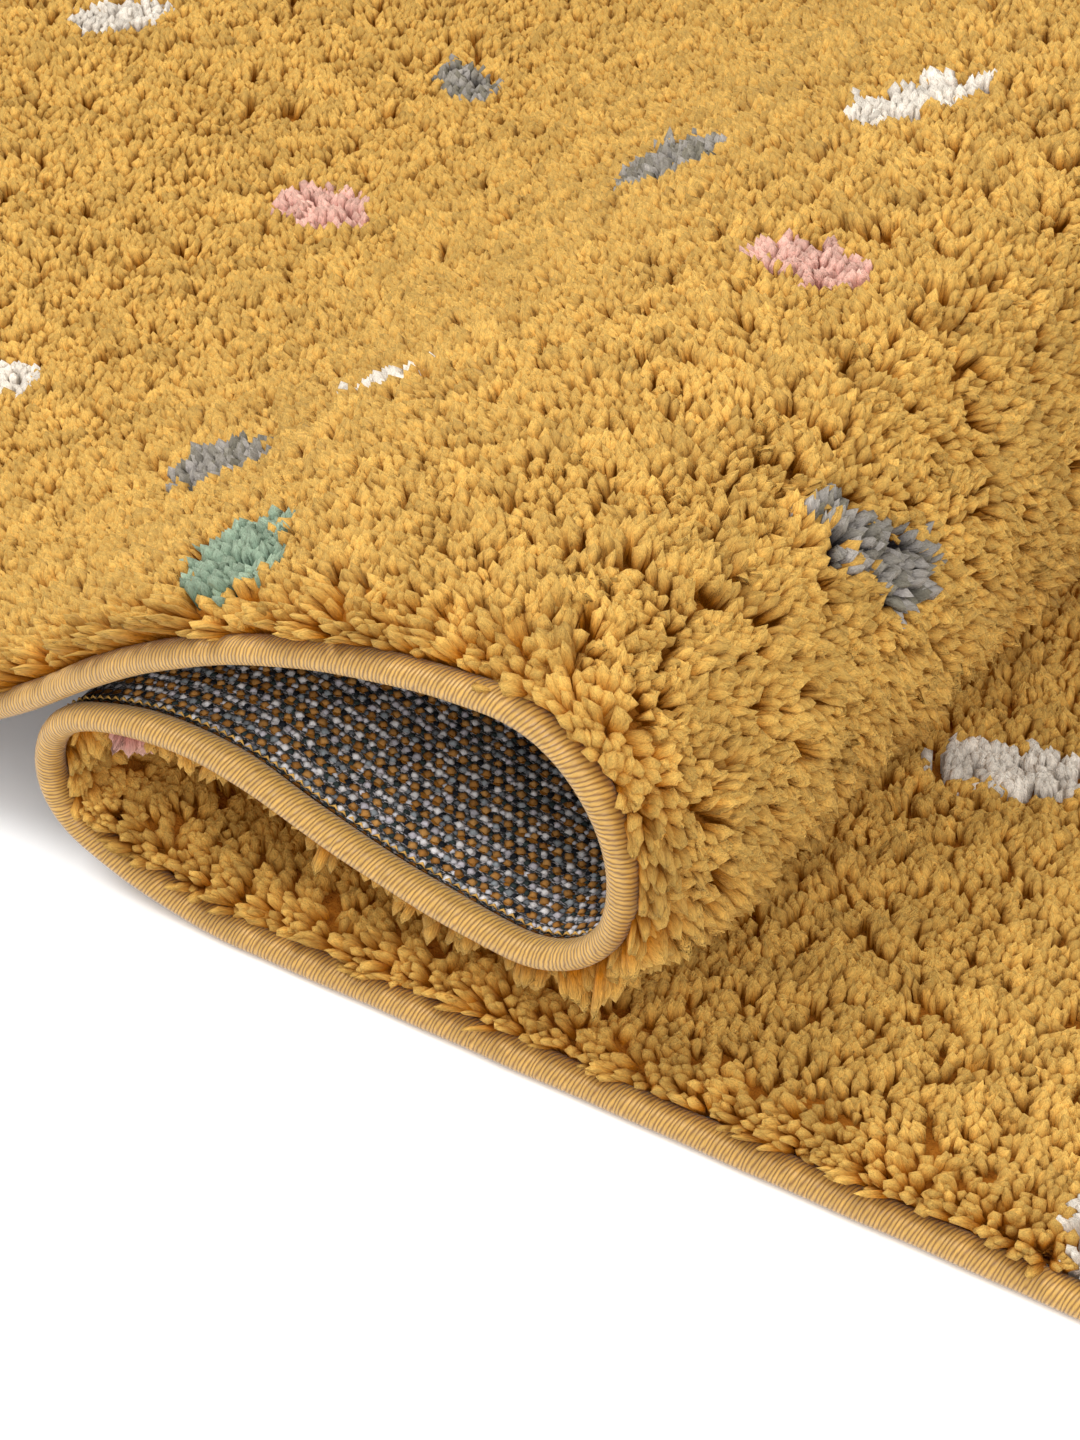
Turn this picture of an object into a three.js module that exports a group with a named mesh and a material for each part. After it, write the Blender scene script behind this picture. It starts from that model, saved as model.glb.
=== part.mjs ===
// A small shag rug lying in an S fold: a flat bottom layer, a middle layer turned over on it, and a top
// layer that comes back over both and runs down to the floor. Millimetres, Z up. The fold lines run
// along Y. The near edge is the one at the low end of Y.
import * as THREE from 'three';

// Driving sizes
const RUG_LENGTH = 1100;
const RUG_WIDTH = 600;
const CORNER_RADIUS = 16;
const CLOTH_THICK = 2.4;
const BINDING_WIDE = 9;
const BINDING_THICK = 7.4;
const BINDING_SIDES = 8;
const PILE_HEIGHT = 17.5; // from the middle of the cloth to the mean top of the pile
const PIECE_GAP = 0.3;

// The cloth rises a little from the floor to meet the thicker binding at its rim
const RIM_LIFT = 1.6;
const LIFT_REACH = 24;

// The folds, walked along the middle of the cloth from the right end of the bottom layer. Each row is a
// stretch with its length at the near and at the far edge and the angle it turns through; a minus sign
// turns back towards the right, and steps is how many facets it gets. The slope's length is worked
// out so that the top layer comes down to the floor, and the top run takes the rest of the cut length.
const FOLDS = [
  { name: 'bottom_run', near: 255, far: 250, turn: 0, steps: 12 },
  { name: 'left_fold_low', near: 52, far: 54, turn: -24, steps: 3 },
  { name: 'left_fold_high', near: 54, far: 56, turn: -134, steps: 9 },
  { name: 'middle_crown', near: 62, far: 62, turn: -42, steps: 4 },
  { name: 'middle_slope', near: 68, far: 78, turn: 14, steps: 4 },
  { name: 'middle_foot', near: 38, far: 40, turn: 86, steps: 6 },
  { name: 'right_fold_low', near: 33, far: 36, turn: 48, steps: 4 },
  { name: 'right_fold_high', near: 29, far: 32, turn: 54, steps: 4 },
  { name: 'top_crown', near: 133, far: 148, turn: 36, steps: 8 },
  { name: 'landing_start', near: 76, far: 76, turn: -15, steps: 4 },
  { name: 'landing_slope', near: 0, far: 0, turn: 0, steps: 1 },
  { name: 'landing_end', near: 83, far: 83, turn: -23, steps: 5 },
  { name: 'top_run', near: 0, far: 0, turn: 0, steps: 10 },
];
const SLOPE_ROW = FOLDS.findIndex((row) => row.name === 'landing_slope');
const LAST_ROW = FOLDS.length - 1;

// The pile's side, from its foot on the cloth to the edge of its top: how far in from the rug's edge
// each line of it lies, and how high above the middle of the cloth
const PILE_INSET = BINDING_WIDE + PIECE_GAP;
const BINDING_MIDDLE = (BINDING_THICK - CLOTH_THICK) / 2;
const PILE_SIDE = [
  { name: 'over_binding', inset: PILE_INSET, up: BINDING_MIDDLE + BINDING_THICK / 2 + PIECE_GAP },
  { name: 'overhang', inset: 4.8, up: 9.2 },
  { name: 'shoulder', inset: 6, up: 14.6 },
];
const PILE_TOP_INSET = 12.5;

// Locks of pile that stand out at the rim, one on every second facet of the pile's side
const LOCK = { reach: 4.2, droop: 1.4, taper: 0.6, body: 0.55 };
const LOCK_SPACING = 2;

// Lumps in the top of the pile
const LUMPS = [
  { height: 0.75, along: 61, across: 83, lean: 0.4 },
  { height: 0.55, along: 37, across: 44, lean: 1.9 },
  { height: 0.45, along: 23, across: 71, lean: 3.1 },
];

// Places across the rug where the cloth, the pile's foot and the binding have their points
const CLOTH_COLUMNS = [
  PILE_INSET,
  CORNER_RADIUS,
  PILE_INSET + LIFT_REACH,
  RUG_WIDTH / 2,
  RUG_WIDTH - PILE_INSET - LIFT_REACH,
  RUG_WIDTH - CORNER_RADIUS,
  RUG_WIDTH - PILE_INSET,
];
const PILE_COLUMNS = 24;

const COLOURS = { cloth: '#6f6657', pile: '#c8912f', binding: '#cda35c' };

const radians = THREE.MathUtils.degToRad;
const lerp = THREE.MathUtils.lerp;

// How far a stretch of this length moves in X and Z while its heading goes from one angle to another
function stretchMove(length, heading, turn) {
  if (turn === 0) {
    return [length * Math.cos(heading), length * Math.sin(heading)];
  }
  const radius = length / turn;
  return [
    radius * (Math.sin(heading + turn) - Math.sin(heading)),
    radius * (Math.cos(heading) - Math.cos(heading + turn)),
  ];
}

// The rows' lengths at a place across the rug, 0 at the near edge and 1 at the far edge
function rowLengths(across) {
  const lengths = FOLDS.map((row) => lerp(row.near, row.far, across));
  let heading = Math.PI;
  let height = 0;
  let slopeHeading = heading;
  FOLDS.forEach((row, index) => {
    if (index === SLOPE_ROW) {
      slopeHeading = heading;
    }
    height += stretchMove(lengths[index], heading, radians(row.turn))[1];
    heading += radians(row.turn);
  });
  lengths[SLOPE_ROW] = -height / Math.sin(slopeHeading);
  const used = lengths.reduce((sum, length) => sum + length, 0);
  lengths[LAST_ROW] = RUG_LENGTH - used;
  return lengths;
}

// Where the middle of the cloth lies at a distance along it, and which way it heads there
function foldPoint(along, across) {
  const lengths = rowLengths(across);
  const point = { x: 0, z: CLOTH_THICK / 2, heading: Math.PI };
  let left = along;
  FOLDS.forEach((row, index) => {
    const length = index === LAST_ROW ? left : Math.min(left, lengths[index]);
    const turn = length > 0 ? (radians(row.turn) * length) / lengths[index] : 0;
    const [moveX, moveZ] = stretchMove(length, point.heading, turn);
    point.x += moveX;
    point.z += moveZ;
    point.heading += turn;
    left -= length;
  });
  return point;
}

// A point of the folded rug from its place on the flat rug and its height over the cloth's middle,
// the pile's side being up
function place(along, y, up) {
  const fold = foldPoint(along, y / RUG_WIDTH);
  const towardsPile = fold.heading - Math.PI / 2;
  return [fold.x + up * Math.cos(towardsPile), y, fold.z + up * Math.sin(towardsPile)];
}

// How much the cloth is lifted near its rim
function rimLift(along, y) {
  const distance = Math.min(y, RUG_WIDTH - y, along, RUG_LENGTH - along);
  const part = THREE.MathUtils.clamp((distance - PILE_INSET) / LIFT_REACH, 0, 1);
  return RIM_LIFT * (1 - THREE.MathUtils.smoothstep(part, 0, 1));
}

// Stations along the rug: a fold row and how far along that row, so that facets follow the folds
const STATIONS = [];
FOLDS.forEach((row, index) => {
  for (let step = index === 0 ? 0 : 1; step <= row.steps; step += 1) {
    STATIONS.push({ row: index, part: step / row.steps });
  }
});
const LAST_STATION = STATIONS.length + 1;

// The distance along the rug of a station. The first and last two are set by the rim's inset and by
// the round corner; the others lie on their rows.
function alongAt(station, y, inset) {
  if (station === 0) {
    return inset;
  }
  if (station === LAST_STATION) {
    return RUG_LENGTH - inset;
  }
  const lengths = rowLengths(y / RUG_WIDTH);
  const { row, part } = STATIONS[station - 1];
  const before = lengths.slice(0, row).reduce((sum, length) => sum + length, 0);
  const start = row === 0 ? CORNER_RADIUS : before;
  const end = row === LAST_ROW ? RUG_LENGTH - CORNER_RADIUS : before + lengths[row];
  return lerp(start, end, part);
}

// A closed body built from points and triangles
class Shell {
  constructor() {
    this.points = [];
    this.corners = [];
  }

  point(position) {
    this.points.push(position);
    return this.points.length - 1;
  }

  triangle(a, b, c) {
    this.corners.push(a, b, c);
  }

  quad(a, b, c, d) {
    this.triangle(a, b, c);
    this.triangle(a, c, d);
  }

  // A sheet of facets between rows of points; its outer side is the pile's side unless turned over
  sheet(rows, turnedOver) {
    for (let i = 0; i + 1 < rows.length; i += 1) {
      for (let j = 0; j + 1 < rows[i].length; j += 1) {
        const [a, b, c, d] = [rows[i][j], rows[i][j + 1], rows[i + 1][j + 1], rows[i + 1][j]];
        if (turnedOver) {
          this.triangle(a, c, b);
          this.triangle(a, d, c);
        } else {
          this.quad(a, b, c, d);
        }
      }
    }
  }

  // A wall between two open lines of points that run side by side; each item is [point, fraction]
  wall(lower, upper) {
    let a = 0;
    let b = 0;
    while (a + 1 < lower.length || b + 1 < upper.length) {
      const nextLower = a + 1 < lower.length ? lower[a + 1][1] : Infinity;
      const nextUpper = b + 1 < upper.length ? upper[b + 1][1] : Infinity;
      if (nextUpper <= nextLower) {
        this.triangle(lower[a][0], upper[b][0], upper[b + 1][0]);
        b += 1;
      } else {
        this.triangle(lower[a][0], upper[b][0], lower[a + 1][0]);
        a += 1;
      }
    }
  }

  mesh(name, colour) {
    const flat = this.corners.flatMap((corner) => this.points[corner]);
    const geometry = new THREE.BufferGeometry();
    geometry.setAttribute('position', new THREE.Float32BufferAttribute(flat, 3));
    geometry.computeVertexNormals();
    const material = new THREE.MeshStandardMaterial({ color: colour, roughness: 0.9, metalness: 0 });
    const mesh = new THREE.Mesh(geometry, material);
    mesh.name = name;
    return mesh;
  }
}

// The place on the flat rug of a grid point, with the rim at the given inset and its corners rounded
function gridPlace(station, column, columns, inset) {
  let y = columns[column];
  if (column === 0) {
    y = inset;
  }
  if (column === columns.length - 1) {
    y = RUG_WIDTH - inset;
  }
  let along = alongAt(station, y, inset);
  const atEnd = station === 0 || station === LAST_STATION;
  const atSide = column === 0 || column === columns.length - 1;
  if (atEnd && atSide) {
    const cut = (CORNER_RADIUS - inset) * (1 - Math.SQRT1_2);
    along += station === 0 ? cut : -cut;
    y += column === 0 ? cut : -cut;
  }
  return [along, y];
}

// The four sides of the rim as lists of grid places, in the order near, left end, far, right end, so
// that walking them keeps the rug on the right hand seen from above
function rimSides(columns) {
  const last = columns.length - 1;
  const near = [];
  const far = [];
  for (let station = 0; station <= LAST_STATION; station += 1) {
    near.push({ station, column: 0, fraction: station / LAST_STATION });
    far.unshift({ station, column: last, fraction: 1 - station / LAST_STATION });
  }
  const ahead = [];
  const behind = [];
  for (let column = 0; column <= last; column += 1) {
    const fraction = columns[column] / RUG_WIDTH;
    ahead.push({ station: LAST_STATION, column, fraction });
    behind.unshift({ station: 0, column, fraction: 1 - fraction });
  }
  return [near, ahead, far, behind];
}

// The rim of a grid of points, as four lists of [point, fraction along the side]
function gridRim(rows, columns) {
  return rimSides(columns).map((side) => side.map((spot) => [rows[spot.station][spot.column], spot.fraction]));
}

// A grid of points at a height over the cloth's middle, which may depend on the place
function gridPoints(shell, columns, inset, height) {
  const rows = [];
  for (let station = 0; station <= LAST_STATION; station += 1) {
    const row = [];
    for (let column = 0; column < columns.length; column += 1) {
      const [along, y] = gridPlace(station, column, columns, inset);
      row.push(shell.point(place(along, y, height(along, y))));
    }
    rows.push(row);
  }
  return rows;
}

// The woven base: one sheet of even thickness on the folds
function wovenBacking() {
  const shell = new Shell();
  const underside = (along, y) => rimLift(along, y) - CLOTH_THICK / 2;
  const topside = (along, y) => rimLift(along, y) + CLOTH_THICK / 2;
  const low = gridPoints(shell, CLOTH_COLUMNS, PILE_INSET, underside);
  const high = gridPoints(shell, CLOTH_COLUMNS, PILE_INSET, topside);
  shell.sheet(low, true);
  shell.sheet(high, false);
  const lowRim = gridRim(low, CLOTH_COLUMNS);
  const highRim = gridRim(high, CLOTH_COLUMNS);
  lowRim.forEach((side, index) => shell.wall(side, highRim[index]));
  return shell.mesh('woven_backing', COLOURS.cloth);
}

// The height of the pile's top with its lumps
function pileTop(along, y) {
  let height = PILE_HEIGHT;
  for (const lump of LUMPS) {
    const turns = 2 * Math.PI;
    const wave = Math.sin((turns * along) / lump.along + lump.lean + Math.sin((turns * y) / lump.across));
    height += lump.height * wave * Math.cos((turns * y) / lump.across + lump.lean);
  }
  return height;
}

// One ring of points round the pile's side, as four open lists that share their corner points
function pileRing(shell, columns, line) {
  const sides = rimSides(columns);
  const shared = new Map();
  return sides.map((side) => side.map((spot) => {
    const key = `${spot.station}_${spot.column}`;
    if (!shared.has(key)) {
      const [along, y] = gridPlace(spot.station, spot.column, columns, line.inset);
      shared.set(key, { point: shell.point(place(along, y, line.up)), along, y });
    }
    const { point, along, y } = shared.get(key);
    return { point, along, y, fraction: spot.fraction, up: line.up };
  }));
}

// A lock of pile: a four-sided body that stands out from a facet of the pile's side and ends in a point
function addLock(shell, corners, outward) {
  const middle = { along: 0, y: 0, up: 0 };
  for (const corner of corners) {
    middle.along += corner.along / corners.length;
    middle.y += corner.y / corners.length;
    middle.up += corner.up / corners.length;
  }
  const out = (from, part) => place(
    from.along + outward[0] * LOCK.reach * part,
    from.y + outward[1] * LOCK.reach * part,
    from.up - LOCK.droop * part,
  );
  const collar = corners.map((corner) => shell.point(out({
    along: lerp(middle.along, corner.along, LOCK.taper),
    y: lerp(middle.y, corner.y, LOCK.taper),
    up: lerp(middle.up, corner.up, LOCK.taper),
  }, LOCK.body)));
  const tip = shell.point(out(middle, 1));
  corners.forEach((corner, index) => {
    const next = (index + 1) % corners.length;
    shell.quad(corner.point, corners[next].point, collar[next], collar[index]);
    shell.triangle(collar[index], collar[next], tip);
  });
}

// The pile: one slab on the cloth, with lumps on top and a side that leans out over the binding
function shagPile() {
  const shell = new Shell();
  const columns = [PILE_TOP_INSET, CORNER_RADIUS];
  for (let column = 1; column < PILE_COLUMNS; column += 1) {
    columns.push(lerp(CORNER_RADIUS, RUG_WIDTH - CORNER_RADIUS, column / PILE_COLUMNS));
  }
  columns.push(RUG_WIDTH - CORNER_RADIUS, RUG_WIDTH - PILE_TOP_INSET);

  const foot = (along, y) => rimLift(along, y) + CLOTH_THICK / 2 + PIECE_GAP;
  const footGrid = gridPoints(shell, CLOTH_COLUMNS, PILE_INSET, foot);
  const topGrid = gridPoints(shell, columns, PILE_TOP_INSET, pileTop);
  shell.sheet(footGrid, true);
  shell.sheet(topGrid, false);

  const rings = PILE_SIDE.map((line) => pileRing(shell, columns, line));
  const lines = (ring) => ring.map((side) => side.map((spot) => [spot.point, spot.fraction]));
  const footRim = gridRim(footGrid, CLOTH_COLUMNS);
  const topRim = gridRim(topGrid, columns);
  lines(rings[0]).forEach((side, index) => shell.wall(footRim[index], side));
  lines(rings[0]).forEach((side, index) => shell.wall(side, lines(rings[1])[index]));
  lines(rings[2]).forEach((side, index) => shell.wall(side, topRim[index]));

  // Between the overhang and the shoulder the side carries the locks
  const outwards = [[0, -1], [1, 0], [0, 1], [-1, 0]];
  rings[1].forEach((lower, side) => {
    const upper = rings[2][side];
    for (let k = 0; k + 1 < lower.length; k += 1) {
      const corners = [lower[k], upper[k], upper[k + 1], lower[k + 1]];
      const atCorner = k < 1 || k + 2 >= lower.length;
      if (!atCorner && k % LOCK_SPACING === 0) {
        addLock(shell, corners, outwards[side]);
      } else {
        shell.quad(...corners.map((corner) => corner.point));
      }
    }
  });
  return shell.mesh('shag_pile', COLOURS.pile);
}

// The middle line of the binding, round the whole rim, with the way that faces out of the rug
function bindingPath() {
  const inset = BINDING_WIDE / 2;
  const lastColumn = CLOTH_COLUMNS.length - 1;
  const path = [];
  const corner = (centreAlong, centreY, from) => {
    const steps = 4;
    const radius = CORNER_RADIUS - inset;
    for (let step = 1; step < steps; step += 1) {
      const angle = radians(from + (90 * step) / steps);
      const out = [Math.cos(angle), Math.sin(angle)];
      path.push({ along: centreAlong + radius * out[0], y: centreY + radius * out[1], out });
    }
  };
  const side = (station, column, out) => {
    const [along, y] = gridPlace(station, column, CLOTH_COLUMNS, inset);
    path.push({ along, y, out });
  };
  for (let station = 1; station < LAST_STATION; station += 1) {
    side(station, 0, [0, -1]);
  }
  corner(RUG_LENGTH - CORNER_RADIUS, CORNER_RADIUS, 270);
  for (let column = 1; column < lastColumn; column += 1) {
    side(LAST_STATION, column, [1, 0]);
  }
  corner(RUG_LENGTH - CORNER_RADIUS, RUG_WIDTH - CORNER_RADIUS, 0);
  for (let station = LAST_STATION - 1; station > 0; station -= 1) {
    side(station, lastColumn, [0, 1]);
  }
  corner(CORNER_RADIUS, RUG_WIDTH - CORNER_RADIUS, 90);
  for (let column = lastColumn - 1; column > 0; column -= 1) {
    side(0, column, [-1, 0]);
  }
  corner(CORNER_RADIUS, CORNER_RADIUS, 180);
  return path;
}

// The binding: an oval section carried round the rim, with a flat facet on the floor
function edgeBinding() {
  const shell = new Shell();
  const halfStep = Math.PI / BINDING_SIDES;
  const round = 1 / Math.cos(halfStep);
  const rings = bindingPath().map(({ along, y, out }) => {
    const ring = [];
    for (let side = 0; side < BINDING_SIDES; side += 1) {
      const angle = 2 * halfStep * side + halfStep;
      const outwards = (BINDING_WIDE / 2) * round * Math.cos(angle);
      const up = BINDING_MIDDLE + (BINDING_THICK / 2) * round * Math.sin(angle);
      ring.push(shell.point(place(along + outwards * out[0], y + outwards * out[1], up)));
    }
    return ring;
  });
  rings.forEach((ring, index) => {
    const next = rings[(index + 1) % rings.length];
    ring.forEach((point, side) => {
      const other = (side + 1) % BINDING_SIDES;
      shell.quad(point, ring[other], next[other], next[side]);
    });
  });
  return shell.mesh('edge_binding', COLOURS.binding);
}

const group = new THREE.Group();
const binding = edgeBinding();
group.add(wovenBacking(), shagPile(), binding);

// The origin is on the floor under the middle of the rug
const middle = new THREE.Box3().setFromObject(binding).getCenter(new THREE.Vector3());
group.position.set(-middle.x, -middle.y, 0);

export default group;
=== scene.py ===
import math
from collections import namedtuple

import bpy
import numpy as np
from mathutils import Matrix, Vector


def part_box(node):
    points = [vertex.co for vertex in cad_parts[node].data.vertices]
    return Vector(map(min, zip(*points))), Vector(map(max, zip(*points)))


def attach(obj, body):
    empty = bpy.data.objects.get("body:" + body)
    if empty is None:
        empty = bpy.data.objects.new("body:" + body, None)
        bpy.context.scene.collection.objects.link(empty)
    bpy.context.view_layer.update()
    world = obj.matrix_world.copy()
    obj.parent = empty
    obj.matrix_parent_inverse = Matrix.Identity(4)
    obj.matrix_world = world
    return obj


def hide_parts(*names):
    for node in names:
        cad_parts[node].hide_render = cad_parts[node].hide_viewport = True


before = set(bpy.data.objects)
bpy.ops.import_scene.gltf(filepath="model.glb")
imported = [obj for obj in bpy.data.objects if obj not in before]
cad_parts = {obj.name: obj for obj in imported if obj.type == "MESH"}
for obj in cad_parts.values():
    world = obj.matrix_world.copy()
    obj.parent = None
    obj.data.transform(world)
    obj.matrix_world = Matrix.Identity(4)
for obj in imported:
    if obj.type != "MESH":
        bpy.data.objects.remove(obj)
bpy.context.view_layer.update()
bpy.context.scene.view_settings.view_transform = "Standard"

# The flat rug in millimetres. A piece's mesh is turned into metres when it is made.
MM = 0.001
RUG_LENGTH = 1100.0
RUG_WIDTH = 600.0
CORNER_RADIUS = 16.0
CLOTH_THICK = 2.4
BINDING_WIDE = 9.0
BINDING_THICK = 7.4
BINDING_MIDDLE = (BINDING_THICK - CLOTH_THICK) / 2
PILE_HEIGHT = 17.5
RIM_LIFT = 1.6
LIFT_INSET = BINDING_WIDE + 0.3
LIFT_REACH = 24.0

# The right end of the bottom layer and the near edge, from the frame
binding_low, binding_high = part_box("edge_binding")
RIGHT_END = binding_high.x / MM
NEAR_EDGE = binding_low.y / MM

# The folds, walked along the middle of the cloth from the right end of the bottom layer: each
# stretch's length at the near and at the far edge, and the degrees it turns through
Fold = namedtuple("Fold", "name near far turn")
FOLDS = [
    Fold("bottom_run", 255, 250, 0),
    Fold("left_fold_low", 52, 54, -24),
    Fold("left_fold_high", 54, 56, -134),
    Fold("middle_crown", 62, 62, -42),
    Fold("middle_slope", 68, 78, 14),
    Fold("middle_foot", 38, 40, 86),
    Fold("right_fold_low", 33, 36, 48),
    Fold("right_fold_high", 29, 32, 54),
    Fold("top_crown", 133, 148, 36),
    Fold("landing_start", 76, 76, -15),
    Fold("landing_slope", 0, 0, 0),
    Fold("landing_end", 83, 83, -23),
    Fold("top_run", 0, 0, 0),
]
FOLD_NAMES = [fold.name for fold in FOLDS]
SLOPE_ROW = FOLD_NAMES.index("landing_slope")
LAST_ROW = len(FOLDS) - 1

# Lumps in the top of the pile: height, length along and across the rug, and a shift of the wave
Lump = namedtuple("Lump", "height along across lean")
LUMPS = [Lump(0.75, 61, 83, 0.4), Lump(0.55, 37, 44, 1.9), Lump(0.45, 23, 71, 3.1)]

# The knots of the weave: how far apart they are along and across the rug
KNOT_ALONG = 3.5
KNOT_ACROSS = 5.2

# The turns of the winding: how far apart they are, how many of them a turn slants past, and how
# many it wanders by
WRAP_PITCH = 1.15
WRAP_SLANT = 6.0
WRAP_WANDER = 1.1


def fold_move(fold, whole, length, heading):
    """How far a length of a fold goes in x and z, and how far it turns: straight on if the fold
    doesn't turn, and otherwise along an arc that turns evenly over the whole of the fold."""
    if not fold.turn:
        return length * np.cos(heading), length * np.sin(heading), 0.0
    rate = math.radians(fold.turn) / whole
    turn = rate * length
    move_x = (np.sin(heading + turn) - np.sin(heading)) / rate
    move_z = (np.cos(heading) - np.cos(heading + turn)) / rate
    return move_x, move_z, turn


def fold_lengths(across):
    """The length of each fold at places across the rug, 0 near and 1 far. The slope is as long as
    it takes to come down to the floor, and the last fold takes the rest of the rug."""
    lengths = np.array([fold.near + (fold.far - fold.near) * across for fold in FOLDS])
    height = np.zeros_like(across)
    heading = math.pi
    slope_heading = heading
    for row, fold in enumerate(FOLDS):
        if row == SLOPE_ROW:
            slope_heading = heading
        height += fold_move(fold, lengths[row], lengths[row], heading)[1]
        heading += math.radians(fold.turn)
    lengths[SLOPE_ROW] = -height / math.sin(slope_heading)
    lengths[LAST_ROW] = RUG_LENGTH - lengths[:LAST_ROW].sum(axis=0)
    return lengths


def cloth_line(along, y):
    """x, z and heading of the middle of the cloth at places of the flat rug: the moves of the
    folds are added up until the distance along the rug is used."""
    lengths = fold_lengths(y / RUG_WIDTH)
    x = np.full(along.shape, RIGHT_END)
    z = np.full(along.shape, CLOTH_THICK / 2)
    heading = np.full(along.shape, math.pi)
    left = along.astype(float)
    for row, fold in enumerate(FOLDS):
        length = left if row == LAST_ROW else np.minimum(left, lengths[row])
        move_x, move_z, turn = fold_move(fold, lengths[row], length, heading)
        x = x + move_x
        z = z + move_z
        heading = heading + turn
        left = left - length
    return x, z, heading


def cloth_axes(along, y):
    """The folded cloth's middle at places of the flat rug, the way along it, and the way its pile
    stands: the heading and the heading less a right angle."""
    x, z, heading = cloth_line(along, y)
    nothing = np.zeros_like(x)
    middle = np.stack([x, y + NEAR_EDGE, z], axis=-1)
    forward = np.stack([np.cos(heading), nothing, np.sin(heading)], axis=-1)
    pile_way = np.stack([np.sin(heading), nothing, -np.cos(heading)], axis=-1)
    return middle, forward, pile_way


def place(along, y, up):
    """A point of the folded rug: the cloth's middle plus the height times the way of the pile."""
    middle, _, pile_way = cloth_axes(along, y)
    return middle + np.asarray(up)[..., None] * pile_way


def fan(along, y):
    """How much the cloth bends outwards on its pile side, in radians a millimetre, and minus
    where it bends inwards."""
    lengths = fold_lengths(y / RUG_WIDTH)
    ends = np.cumsum(lengths, axis=0)
    turns = np.array([math.radians(fold.turn) for fold in FOLDS])
    rates = turns[:, None] / lengths
    row = np.minimum((along[None, :] > ends).sum(axis=0), LAST_ROW)
    return rates[row, np.arange(len(along))]


def rim_distance(along, y):
    """Distance to the nearest edge of the flat rug."""
    return np.minimum(np.minimum(y, RUG_WIDTH - y), np.minimum(along, RUG_LENGTH - along))


def smooth(part):
    """Goes from 0 to 1 with level ends: three times the square less twice the cube."""
    part = np.clip(part, 0, 1)
    return part * part * (3 - 2 * part)


def rim_lift(along, y):
    """How far the cloth is lifted near its rim, where the binding is thicker than the cloth: all
    the way to just inside the binding, and less over the reach of the lift."""
    return RIM_LIFT * (1 - smooth((rim_distance(along, y) - LIFT_INSET) / LIFT_REACH))


def pile_top(along, y):
    """Mean height of the pile: its cut height plus three crossed waves."""
    height = np.full(np.shape(along), PILE_HEIGHT)
    for lump in LUMPS:
        side = 2 * math.pi * y / lump.across
        wave = np.sin(2 * math.pi * along / lump.along + lump.lean + np.sin(side))
        height = height + lump.height * wave * np.cos(side + lump.lean)
    return height


# Meshes


def add_object(name, data):
    """A new object in the scene, from a mesh, a light or a camera."""
    holder = bpy.data.objects.new(name, data)
    bpy.context.scene.collection.objects.link(holder)
    return holder


def make_piece(name, points, faces, material, values=None):
    """A smooth mesh from points in millimetres and faces that all have one number of corners, with
    an array of numbers or of vectors for each point attribute."""
    mesh = bpy.data.meshes.new(name)
    corners = faces.shape[1]
    mesh.vertices.add(len(points))
    mesh.vertices.foreach_set("co", (points * MM).astype(np.float32).ravel())
    mesh.loops.add(faces.size)
    mesh.loops.foreach_set("vertex_index", faces.astype(np.int32).ravel())
    mesh.polygons.add(len(faces))
    mesh.polygons.foreach_set("loop_start", np.arange(0, faces.size, corners, dtype=np.int32))
    mesh.polygons.foreach_set("use_smooth", np.ones(len(faces), bool))
    for key, value in (values or {}).items():
        kind, part = ("FLOAT_VECTOR", "vector") if value.ndim == 2 else ("FLOAT", "value")
        attribute = mesh.attributes.new(key, kind, "POINT")
        attribute.data.foreach_set(part, value.astype(np.float32).ravel())
    mesh.update()
    mesh.materials.append(material)
    piece = add_object(name, mesh)
    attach(piece, "root")
    return piece


def spindle_faces(rings, sides, count):
    """Triangles of closed spindles: a fan at each end and two triangles a side between rings."""
    side = np.arange(sides)
    following = (side + 1) % sides
    end = 1 + rings * sides
    parts = [np.stack([np.zeros_like(side), 1 + following, 1 + side], axis=1)]
    for ring in range(rings - 1):
        low = 1 + ring * sides
        high = low + sides
        parts.append(np.stack([low + side, low + following, high + side], axis=1))
        parts.append(np.stack([low + following, high + following, high + side], axis=1))
    last = 1 + (rings - 1) * sides
    parts.append(np.stack([np.full_like(side, end), last + side, last + following], axis=1))
    pattern = np.concatenate(parts)
    starts = np.arange(count) * (end + 1)
    return (pattern[None] + starts[:, None, None]).reshape(-1, 3)


def spindles(centres, radii, side_a, side_b, sides, turn, rough=None):
    """Points of closed spindles, and the angle of each ring point. A row of centres goes from one
    end through the rings to the other. A ring's point is its centre plus its roughened radius
    times the sides' ways turned by the angle, half a step further on each ring."""
    steps = np.arange(sides) + 0.5 * np.arange(radii.shape[1])[:, None]
    angle = turn[:, None, None] + steps * 2 * math.pi / sides
    ways = np.cos(angle)[..., None] * side_a[:, None, None]
    ways += np.sin(angle)[..., None] * side_b[:, None, None]
    girth = radii[..., None] * (1 if rough is None else rough)
    ring_points = centres[:, 1:-1, None] + girth[..., None] * ways
    count = len(centres)
    points = [centres[:, :1], ring_points.reshape(count, -1, 3), centres[:, -1:]]
    return np.concatenate(points, axis=1), angle.reshape(count, -1)


def spread_over_spindles(values, sides):
    """One value for each end and ring becomes one for each point of the spindles."""
    rings = np.repeat(values[:, 1:-1], sides, axis=1)
    return np.concatenate([values[:, :1], rings, values[:, -1:]], axis=1)


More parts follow.
